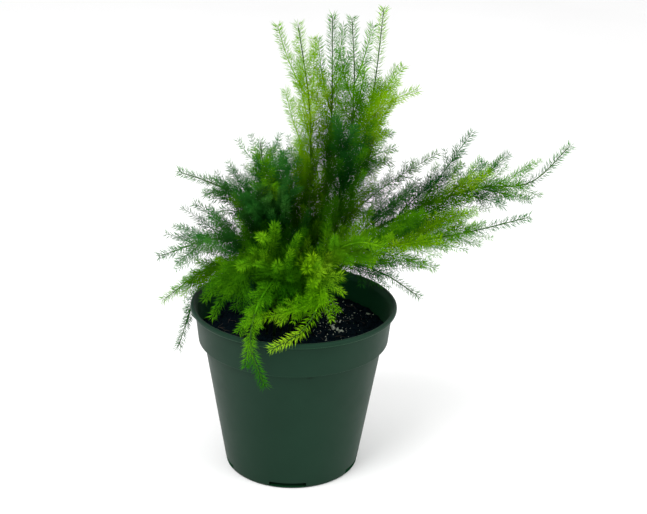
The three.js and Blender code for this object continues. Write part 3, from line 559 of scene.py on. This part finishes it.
def shafts_of(place):
    """Every stem, shoot and twig of a leafy stem."""
    name, leaf, root, through, tip, shoots = STEMS[place]
    fullness, side_fullness, plume, side_plume = HABITS.get(name, PLAIN_HABIT)
    lengths = [length * fullness for length in TWIG_LENGTHS]
    side_lengths = [length * side_fullness for length in SIDE_TWIG_LENGTHS]
    main = line_through([(*root, STEM_START), *through, tip])
    bare = main.length * STEM_BARE_SHARE
    shafts = [Shaft(main, STEM_RADII, STEM_SIDES, bare, TIP_LEAVES.get(name, leaf))]
    shafts += twigs_along(main, place, leaf, plume, TWIG_STEP, lengths)
    for number, (share, end, *own_leaf) in enumerate([*shoots, *SMALL_SHOOTS.get(name, [])]):
        shoot_leaf = own_leaf[0] if own_leaf else leaf
        line = shoot_line(spot_on(main, share * main.length), end)
        shafts.append(Shaft(line, SHOOT_RADII, SHOOT_SIDES, SHOOT_BARE_LENGTH, shoot_leaf))
        key = FIRST_SHOOT_KEY + place * KEYS_A_STEM + number
        shafts += twigs_along(
            line, key, shoot_leaf, side_plume, SIDE_TWIG_STEP, side_lengths, SIDE_TWIG_ANGLE, SIDE_TWIG_DRIFT
        )
    return shafts


# Meshes


def new_object(name, points, faces, materials, indices=None):
    """A mesh object from points in millimetres and triangles, all smooth."""
    mesh = bpy.data.meshes.new(name)
    mesh.vertices.add(len(points))
    mesh.vertices.foreach_set("co", (np.asarray(points, np.float32) * MM).ravel())
    mesh.loops.add(len(faces) * 3)
    mesh.loops.foreach_set("vertex_index", np.asarray(faces, np.int32).ravel())
    mesh.polygons.add(len(faces))
    mesh.polygons.foreach_set("loop_start", np.arange(0, len(faces) * 3, 3, dtype=np.int32))
    for material in materials:
        mesh.materials.append(material)
    if indices is not None:
        mesh.polygons.foreach_set("material_index", np.asarray(indices, np.int32))
    mesh.update(calc_edges=True)
    mesh.validate()
    mesh.shade_smooth()
    made = bpy.data.objects.new(name, mesh)
    bpy.context.scene.collection.objects.link(made)
    return made


class Shape:
    """Many small closed bodies, gathered as points, triangles and each triangle's place among materials."""

    def __init__(self):
        self.points = []
        self.faces = []
        self.indices = []
        self.count = 0

    def add(self, points, faces, index=0):
        self.points.append(points)
        self.faces.append(faces + self.count)
        self.indices.append(np.broadcast_to(index, len(faces)))
        self.count += len(points)

    def make(self, name, materials):
        points = np.vstack(self.points)
        faces = np.vstack(self.faces)
        return new_object(name, points, faces, materials, np.concatenate(self.indices))


def closed_faces(rings, sides):
    """Triangles between rings of points, and caps to the two points after them that close both ends."""
    near = np.arange(sides)
    following = (near + 1) % sides
    foot = rings * sides
    faces = [np.stack([np.full(sides, foot), following, near], axis=1)]
    for i in range(rings - 1):
        a, b = near + i * sides, following + i * sides
        faces.append(np.stack([a, b, b + sides], axis=1))
        faces.append(np.stack([a, b + sides, a + sides], axis=1))
    last = (rings - 1) * sides
    faces.append(np.stack([near + last, following + last, np.full(sides, foot + 1)], axis=1))
    return np.vstack(faces)


def tube(line, radii, sides):
    """A tapered closed tube along a line, pointed at its far end."""
    count = max(FEWEST_RINGS, math.ceil(line.length / RING_STEP))
    distances = np.linspace(0, line.length, count + 1)[:-1]
    spots = spots_on(line, distances)
    radius = mix(*radii, distances / line.length)[:, None, None]
    rings = spots.points[:, None, :] + radius * directions(spots, np.arange(sides) * TURN / sides)
    ends = [spots.points[:1], spots_on(line, [line.length]).points]
    return np.vstack([rings.reshape(-1, 3), *ends]), closed_faces(count, sides)


def whorl_distances(shaft, random):
    """Where whorls of needles sit on a shaft: closer together on the plume of a stem or shoot."""
    length = shaft.line.length
    last = length - LAST_WHORL
    crowded = last if shaft.radii == TWIG_RADII else max(shaft.needles_from, length - TIP_REACH)
    plain = np.arange(shaft.needles_from, crowded, WHORL_STEP)
    even = np.concatenate([plain, np.arange(crowded, last, PLUME_WHORL_STEP)])
    return even + random.uniform(-WHORL_JITTER, WHORL_JITTER, len(even))


def spindles(feet, tangents, outward, leans, lengths, widths):
    """Needles as closed bodies of five points: a foot, a belly of three corners and a tip."""
    way = np.cos(leans)[..., None] * tangents + np.sin(leans)[..., None] * outward
    reach = lengths[..., None]
    belly = feet + BELLY_PLACE * reach * way + BELLY_LIFT * reach * outward
    tip = feet + reach * way + TIP_SWEEP * reach * tangents
    side = np.cross(tangents, outward)
    other = np.cross(way, side)
    corners = [
        belly + widths * (math.cos(turn) * side + math.sin(turn) * other)
        for turn in (0, TURN / 3, 2 * TURN / 3)
    ]
    points = np.stack([feet, *corners, tip], axis=2).reshape(-1, 3)
    starts = np.arange(0, len(points), NEEDLE_POINTS)
    faces = starts[:, None, None] + NEEDLE_FACES[None]
    return points, faces.reshape(-1, 3)


def needles_along(shaft, random, count):
    """Fine needles along a shaft, with the given number in each whorl. A very short shaft has none."""
    distances = whorl_distances(shaft, random)
    if len(distances) == 0:
        return None
    spots = spots_on(shaft.line, distances)
    shape = (len(distances), count)
    first = np.arange(len(distances))[:, None] * GOLDEN_ANGLE
    angles = first + np.arange(count) * TURN / count + random.uniform(-TURN_JITTER, TURN_JITTER, shape)
    outward = directions(spots, angles)
    tangents = np.broadcast_to(spots.tangents[:, None, :], outward.shape)
    end_length, end_width, end_lean = TWIG_END if shaft.radii == TWIG_RADII else PLUME_END
    left = np.clip((shaft.line.length - distances) / TIP_REACH, 0, 1)
    leans = mix(end_lean, NEEDLE_LEAN, left)[:, None] + random.uniform(-LEAN_JITTER, LEAN_JITTER, shape)
    plain_lengths = NEEDLE_LENGTH * mix(end_length, 1, left)[:, None]
    lengths = plain_lengths * random.uniform(*NEEDLE_LENGTH_RANGE, shape)
    widths = NEEDLE_WIDTH * mix(end_width, 1, left)[:, None, None]
    slides = random.uniform(-NEEDLE_SLIDE, NEEDLE_SLIDE, shape)[..., None]
    feet = spots.points[:, None, :] + FOOT_LIFT * outward + slides * tangents
    return spindles(feet, tangents, outward, leans, lengths, widths)


# Materials


class Look:
    """A material while its nodes are laid. Each value and colour below is the output of a node."""

    def __init__(self, name):
        self.material = bpy.data.materials.new(name)
        self.material.use_nodes = True
        self.nodes = self.material.node_tree.nodes
        self.links = self.material.node_tree.links
        self.shader = self.nodes["Principled BSDF"]
        self.place = self.nodes.new("ShaderNodeTexCoord")

    def set(self, values):
        for name, value in values.items():
            self.shader.inputs[name].default_value = value

    def feed(self, name, output):
        self.links.new(output, self.shader.inputs[name])

    def noise(self, scale, detail=3):
        """Noise over the place of a point on the object; the scale is in swells a metre."""
        texture = self.nodes.new("ShaderNodeTexNoise")
        texture.inputs["Scale"].default_value = scale
        texture.inputs["Detail"].default_value = detail
        texture.inputs["Roughness"].default_value = NOISE_ROUGHNESS
        self.links.new(self.place.outputs["Object"], texture.inputs["Vector"])
        return texture.outputs["Fac"]

    def ramp(self, value, stops):
        """A colour ramp; each stop is a place from 0 to 1 and a linear colour."""
        node = self.nodes.new("ShaderNodeValToRGB")
        while len(node.color_ramp.elements) < len(stops):
            node.color_ramp.elements.new(0.5)
        for element, (place, colour) in zip(node.color_ramp.elements, stops):
            element.position = place
            element.color = (*colour, 1)
        self.links.new(value, node.inputs["Fac"])
        return node.outputs["Color"]

    def multiply(self, first, second):
        node = self.nodes.new("ShaderNodeMix")
        node.data_type = "RGBA"
        node.blend_type = "MULTIPLY"
        node.inputs["Factor"].default_value = 1
        for name, colour in (("A", first), ("B", second)):
            target = next(s for s in node.inputs if s.name == name and s.type == "RGBA")
            self.links.new(colour, target)
        return next(s for s in node.outputs if s.type == "RGBA")

    def vector_math(self, operation, *vectors):
        node = self.nodes.new("ShaderNodeVectorMath")
        node.operation = operation
        for place, vector in enumerate(vectors):
            self.links.new(vector, node.inputs[place])
        return node.outputs["Value"]

    def darken(self, colour, centre, radii, brightness):
        """The colour with a dark spot, which fades out at the given radii from its centre."""
        fit = self.nodes.new("ShaderNodeMapping")
        fit.inputs["Location"].default_value = [-c / r for c, r in zip(centre, radii)]
        fit.inputs["Scale"].default_value = [1 / (r * MM) for r in radii]
        self.links.new(self.place.outputs["Object"], fit.inputs["Vector"])
        away = self.vector_math("LENGTH", fit.outputs["Vector"])
        core = tuple(brightness * tint for tint in SPOT_TINT)
        return self.multiply(colour, self.ramp(away, [(SPOT_CORE, core), (1, WHITE)]))

    def bump(self, height, strength, distance):
        """Bumps as high as the distance, in metres."""
        node = self.nodes.new("ShaderNodeBump")
        node.inputs["Strength"].default_value = strength
        node.inputs["Distance"].default_value = distance
        self.links.new(height, node.inputs["Height"])
        self.feed("Normal", node.outputs["Normal"])


def leaf_material(kind):
    """Needles whose green drifts from tuft to tuft and a little from needle to needle."""
    look = Look(f"leaf_{kind}")
    tufts = look.ramp(look.noise(scale=45), list(zip(LEAF_STOPS, LEAF_COLOURS[kind])))
    colour = look.multiply(tufts, look.ramp(look.noise(scale=900, detail=2), NEEDLE_TINTS))
    # Painted shade: needles darkened in crowded places and on the hanging plume below the rim.
    for shade_spot in PAINTED_SHADE_SPOTS:
        colour = look.darken(colour, *shade_spot)
    look.feed("Base Color", colour)
    look.set({"Roughness": 0.7, "Specular IOR Level": 0})
    return look.material


def bark_material():
    """Dark green skin of the main stems and of their feet in the mix."""
    look = Look("stem_skin")
    colour = look.ramp(look.noise(scale=160), BARK_COLOURS)
    look.feed("Base Color", look.darken(colour, *FOOT_SHADE))
    look.set({"Roughness": 0.6, "Specular IOR Level": 0.05})
    return look.material


def pot_material():
    """Matte moulded green plastic with a faint grain, a smudge, and greener painted shade on its inner wall.
    """
    look = Look("pot_plastic")
    colour = look.darken(look.ramp(look.noise(scale=28, detail=4), POT_COLOURS), *SMUDGE)
    outward = look.vector_math("DOT_PRODUCT", look.place.outputs["Object"], look.place.outputs["Normal"])
    # Painted shade colour: greener and less red on the inner wall, which faces the axis.
    look.feed("Base Color", look.multiply(colour, look.ramp(outward, INNER_WALL_SHADE_TINTS)))
    rough = look.nodes.new("ShaderNodeMapRange")
    rough.inputs["To Min"].default_value, rough.inputs["To Max"].default_value = POT_ROUGHNESS
    look.links.new(look.noise(scale=120, detail=5), rough.inputs["Value"])
    look.feed("Roughness", rough.outputs["Result"])
    look.set({"Specular IOR Level": 0.07, "Sheen Weight": 0.05, "Sheen Roughness": 0.4})
    look.bump(look.noise(scale=2600, detail=2), strength=0.12, distance=0.00008)
    return look.material


def soil_material():
    """Moist dark peat."""
    look = Look("potting_mix")
    look.feed("Base Color", look.ramp(look.noise(scale=700, detail=6), SOIL_COLOURS))
    look.set({"Roughness": 0.85, "Specular IOR Level": 0.02})
    look.bump(look.noise(scale=1500, detail=5), strength=0.8, distance=0.0006)
    return look.material


def perlite_material():
    """Chalky white perlite, dusted with peat in darker patches spread at random."""
    look = Look("perlite")
    look.feed("Base Color", look.ramp(look.noise(scale=1400, detail=5), PERLITE_COLOURS))
    look.set({"Roughness": 0.9})
    look.bump(look.noise(scale=3000, detail=4), strength=0.7, distance=0.0003)
    return look.material


def fibre_material():
    """Dry root and bark fibres."""
    look = Look("bark_fibre")
    look.feed("Base Color", look.ramp(look.noise(scale=500, detail=4), FIBRE_COLOURS))
    look.set({"Roughness": 0.8})
    return look.material


# Pot


def rounded(profile):
    """The profile with each corner cut by a small arc."""
    made = [profile[0]]
    for before, corner, after in zip(profile, profile[1:], profile[2:]):
        before, corner, after = (np.array(point, float) for point in (before, corner, after))
        shorter = min(np.linalg.norm(corner - before), np.linalg.norm(after - corner))
        cut = min(CORNER_ROUND, shorter * CORNER_SHARE)
        start = corner + cut * unit(before - corner)
        end = corner + cut * unit(after - corner)
        made += [tuple(point) for point in bezier(start, corner, end, np.linspace(0, 1, CORNER_STEPS))]
    return [*made, profile[-1]]


def turned(name, profile, segments, materials):
    """A closed body of revolution whose first and last rings are capped on the axis."""
    angles = np.arange(segments) * TURN / segments
    radii, heights = np.array(profile, float).T[:, :, None]
    rings = [radii * np.cos(angles), radii * np.sin(angles), np.repeat(heights, segments, axis=1)]
    axis_points = [[0, 0, heights[0, 0]], [0, 0, heights[-1, 0]]]
    points = np.vstack([np.stack(rings, axis=2).reshape(-1, 3), axis_points])
    return new_object(name, points, closed_faces(len(profile), segments), materials)


def cut_slots(pot):
    """Cuts the drain slots out of the pot's base corner."""
    for place in range(SLOT_COUNT):
        bpy.ops.mesh.primitive_cube_add(size=1)
        cutter = bpy.context.object
        cutter.scale = Vector((SLOT_WIDTH, SLOT_DEPTH, SLOT_HIGH - SLOT_LOW)) * MM
        turn = Matrix.Rotation(place * TURN / SLOT_COUNT, 4, "Z")
        middle = Vector((0, -SLOT_INNER_RADIUS - SLOT_DEPTH / 2, (SLOT_LOW + SLOT_HIGH) / 2)) * MM
        cutter.location = turn @ middle
        cutter.rotation_euler = (0, 0, place * TURN / SLOT_COUNT)
        modifier = pot.modifiers.new(f"slot_{place}", "BOOLEAN")
        modifier.operation = "DIFFERENCE"
        modifier.solver = "EXACT"
        modifier.object = cutter
        bpy.context.view_layer.objects.active = pot
        bpy.ops.object.modifier_apply(modifier=modifier.name)
        bpy.data.objects.remove(cutter)
    pot.data.set_sharp_from_angle(angle=math.radians(SHARP_DEGREES))


def build_pot():
    pot = turned("pot_wall", rounded(POT_PROFILE), POT_SEGMENTS, [pot_material()])
    cut_slots(pot)
    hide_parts("pot")
    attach(pot, "root")


# Potting mix


def swell(x, y):
    """Height of the mix above its level in the solid."""
    slow = math.sin(x * SLOW_WAVES[0] + SLOW_SHIFTS[0]) * math.cos(y * SLOW_WAVES[1] + SLOW_SHIFTS[1])
    (xx, xy), (yx, yy) = FINE_WAVES
    fine = math.sin(x * xx + y * xy) * math.cos(x * yx + y * yy)
    return SLOW_HEIGHT * slow + FINE_HEIGHT * fine


def soil_height(x, y):
    """Height of the mix with its crumbly surface."""
    where = Vector((x, y, GRAIN_LAYER)) * GRAIN_SCALE
    grain = noise.fractal(where, GRAIN_DIMENSION, GRAIN_LACUNARITY, GRAIN_OCTAVES)
    return SOIL_LEVEL + swell(x, y) + GRAIN_HEIGHT * grain


def soil_ring(radius):
    angles = np.arange(SOIL_SEGMENTS) * TURN / SOIL_SEGMENTS
    return [(radius * math.cos(angle), radius * math.sin(angle)) for angle in angles]


def build_soil():
    """The plug of mix: rings over its crumbly top out to the edge, then down its side."""
    points = []
    for ring in range(1, SOIL_RINGS + 1):
        radius = SOIL_EDGE_RADIUS * ring / SOIL_RINGS
        points += [(x, y, soil_height(x, y)) for x, y in soil_ring(radius)]
    for radius, height in SOIL_SIDES:
        points += [(x, y, height) for x, y in soil_ring(radius)]
    points += [(0, 0, soil_height(0, 0)), (0, 0, SOIL_SIDES[-1][1])]
    # These rings run downwards, so each face is turned round to look out.
    faces = closed_faces(SOIL_RINGS + len(SOIL_SIDES), SOIL_SEGMENTS)[:, ::-1]
    material = soil_material()
    soil = new_object("mix_plug", points, faces, [material])
    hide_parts("soil")
    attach(soil, "root")
    return material


@cache
def icosahedron():
    """Corners at length one, and the twenty faces, which are all sets of three corners an edge apart."""
    golden = (1 + math.sqrt(5)) / 2
    points = []
    for a in (-1, 1):
        for b in (-golden, golden):
            points += [(a, b, 0), (0, a, b), (b, 0, a)]
    points = np.array(points) / math.hypot(1, golden)
    longest = LUMP_EDGE_MARGIN * 2 / math.hypot(1, golden)
    faces = []
    for i, j, k in combinations(range(len(points)), 3):
        if max(math.dist(points[p], points[q]) for p, q in ((i, j), (j, k), (i, k))) < longest:
            facing = np.dot(np.cross(points[j] - points[i], points[k] - points[i]), points[i])
            faces.append((i, j, k) if facing > 0 else (i, k, j))
    return points, np.array(faces)


def lump(random, x, y, size, shape):
    """An uneven grain on the mix: a ball of twenty faces with its corners pushed in and out."""
    points, faces = icosahedron()
    points = points * random.uniform(*LUMP_VARIETY, (len(points), 1)) * (size * shape)
    turn = np.array(Matrix.Rotation(random.uniform(0, TURN), 3, random.normal(size=3)))
    return points @ turn.T + (x, y, soil_height(x, y) + size * LUMP_LIFT), faces


def scattered(random, edge_gap):
    """A place on the mix, even over its area."""
    radius = math.sqrt(random.uniform(0, 1)) * (SOIL_EDGE_RADIUS - edge_gap)
    angle = random.uniform(0, TURN)
    return radius * math.cos(angle), radius * math.sin(angle)


def build_grit(material):
    """Dark crumbs of peat, with a larger chip of bark now and then, over the whole mix."""
    random = np.random.default_rng(GRIT_SEED)
    grit = Shape()
    for i in range(GRIT_COUNT):
        size = random.uniform(*(GRIT_SIZES if i % CHIP_EVERY else CHIP_SIZES))
        x, y = scattered(random, size + GRIT_EDGE_GAP)
        grit.add(*lump(random, x, y, size, np.array(GRIT_SHAPE)))
    made = grit.make("mix_grit", [material])
    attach(made, "root")


def build_perlite():
    """Pale flakes: the ones on the bare right side, smaller ones round them, and a few anywhere."""
    random = np.random.default_rng(PERLITE_SEED)
    places = list(PERLITE_LUMPS)
    for i in range(PERLITE_COUNT):
        if i % PERLITE_STRAY_EVERY:
            spot = random.normal(PERLITE_SIDE, PERLITE_SPREAD)
        else:
            spot = scattered(random, PERLITE_EDGE_GAP)
        if math.hypot(*spot) < SOIL_EDGE_RADIUS - PERLITE_EDGE_GAP:
            places.append((*spot, random.uniform(*PERLITE_SIZES)))
    flakes = Shape()
    for x, y, size in places:
        shape = np.array(PERLITE_SHAPE) * random.uniform(*PERLITE_VARIETY, 3)
        flakes.add(*lump(random, x, y, size, shape))
    made = flakes.make("perlite_flakes", [perlite_material()])
    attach(made, "root")


def fibre_line(random):
    """A short bent line that lies on the mix."""
    x, y = scattered(random, FIBRE_EDGE_GAP)
    angle = random.uniform(0, TURN)
    length = random.uniform(*FIBRE_LENGTHS)
    points = []
    for share in FIBRE_SHARES:
        bend = random.uniform(-FIBRE_BEND, FIBRE_BEND)
        px = x + share * length * math.cos(angle) + bend * math.sin(angle)
        py = y + share * length * math.sin(angle) - bend * math.cos(angle)
        points.append((px, py, soil_height(px, py) + random.uniform(*FIBRE_LIFTS)))
    return line_through(points)


def build_fibres():
    """Thin bits of root and bark that lie on the mix."""
    random = np.random.default_rng(FIBRE_SEED)
    fibres = Shape()
    for _ in range(FIBRE_COUNT):
        fibres.add(*tube(fibre_line(random), FIBRE_RADII, FIBRE_SIDES))
    made = fibres.make("bark_fibres", [fibre_material()])
    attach(made, "root")


# Leafy stems


def foot_of(root):
    """The straight foot of a stem inside the mix."""
    heights = (STEM_FOOT, mix(STEM_FOOT, STEM_START, 0.5), STEM_START + FOOT_OVERLAP)
    line = line_through([(*root, height) for height in heights])
    return tube(line, (STEM_RADII[0], STEM_RADII[0]), STEM_SIDES)


def build_frond(place, kinds, materials):
    """One leafy stem. The materials are those of the leaves, by kind, and then the bark's."""
    name, leaf, root, *_ = STEMS[place]
    in_front = name.startswith("frond_front")
    bark_height = FRONT_BARK_HEIGHT if in_front else math.inf
    whorl = FRONT_NEEDLES_A_WHORL if in_front else NEEDLES_A_WHORL
    bark = len(kinds)
    random = np.random.default_rng(STEM_SEED + place)
    frond = Shape()
    for shaft in shafts_of(place):
        green = kinds.index(shaft.leaf)
        points, faces = tube(shaft.line, shaft.radii, shaft.sides)
        is_bark = (shaft.radii == STEM_RADII) & (points[faces[:, 0], 2] < bark_height)
        frond.add(points, faces, np.where(is_bark, bark, green))
        needles = needles_along(shaft, random, whorl)
        if needles:
            frond.add(*needles, green)
    frond.add(*foot_of(root), bark)
    made = frond.make(name.replace("frond_", "spray_"), materials)
    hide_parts(name)
    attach(made, "root")


def build_fronds():
    kinds = list(LEAF_COLOURS)
    materials = [*(leaf_material(kind) for kind in kinds), bark_material()]
    for place in range(len(STEMS)):
        build_frond(place, kinds, materials)


# Camera, floor and light


def camera_axes():
    """The directions right, up and back of the camera."""
    ahead = Vector(
        (
            math.sin(CAMERA_YAW) * math.cos(CAMERA_PITCH),
            math.cos(CAMERA_YAW) * math.cos(CAMERA_PITCH),
            -math.sin(CAMERA_PITCH),
        )
    )
    level = Vector((math.cos(CAMERA_YAW), -math.sin(CAMERA_YAW), 0))
    upright = level.cross(ahead)
    right = math.cos(CAMERA_ROLL) * level + math.sin(CAMERA_ROLL) * upright
    up = math.cos(CAMERA_ROLL) * upright - math.sin(CAMERA_ROLL) * level
    return right, up, -ahead


def build_camera():
    data = bpy.data.cameras.new("camera")
    data.sensor_width = SENSOR_WIDTH
    data.lens = SENSOR_WIDTH * FOCAL_PIXELS / IMAGE_WIDTH
    data.clip_start, data.clip_end = CLIP_RANGE
    camera = bpy.data.objects.new("camera", data)
    bpy.context.scene.collection.objects.link(camera)
    turn = Matrix(camera_axes()).transposed().to_4x4()
    camera.matrix_world = Matrix.Translation(Vector(CAMERA_PLACE) * MM) @ turn
    bpy.context.scene.camera = camera


def build_floor():
    bpy.ops.mesh.primitive_circle_add(vertices=FLOOR_SIDES, radius=FLOOR_RADIUS, fill_type="NGON")
    floor = bpy.context.object
    floor.name = "studio_floor"
    look = Look("studio_floor")
    look.feed("Base Color", look.ramp(look.noise(scale=2), FLOOR_COLOURS))
    look.set({"Roughness": 0.9})
    floor.data.materials.append(look.material)


def add_light(name, place, power):
    data = bpy.data.lights.new(name, "AREA")
    data.shape = "DISK"
    data.size = LIGHT_SIZE
    data.energy = power
    light = bpy.data.objects.new(name, data)
    light.location = place
    light.rotation_euler = (Vector(LIGHT_AIM) - Vector(place)).to_track_quat("-Z", "Y").to_euler()
    bpy.context.scene.collection.objects.link(light)


def build_light():
    world = bpy.data.worlds.new("studio")
    world.use_nodes = True
    sky = world.node_tree.nodes["Background"]
    sky.inputs["Color"].default_value = (*WHITE, 1)
    sky.inputs["Strength"].default_value = 1
    bpy.context.scene.world = world
    bpy.context.scene.view_settings.view_transform = "Standard"
    for name, place, power in LIGHTS:
        add_light(name, place, power)


build_camera()
build_floor()
build_light()
build_pot()
peat = build_soil()
build_grit(peat)
build_perlite()
build_fibres()
build_fronds()
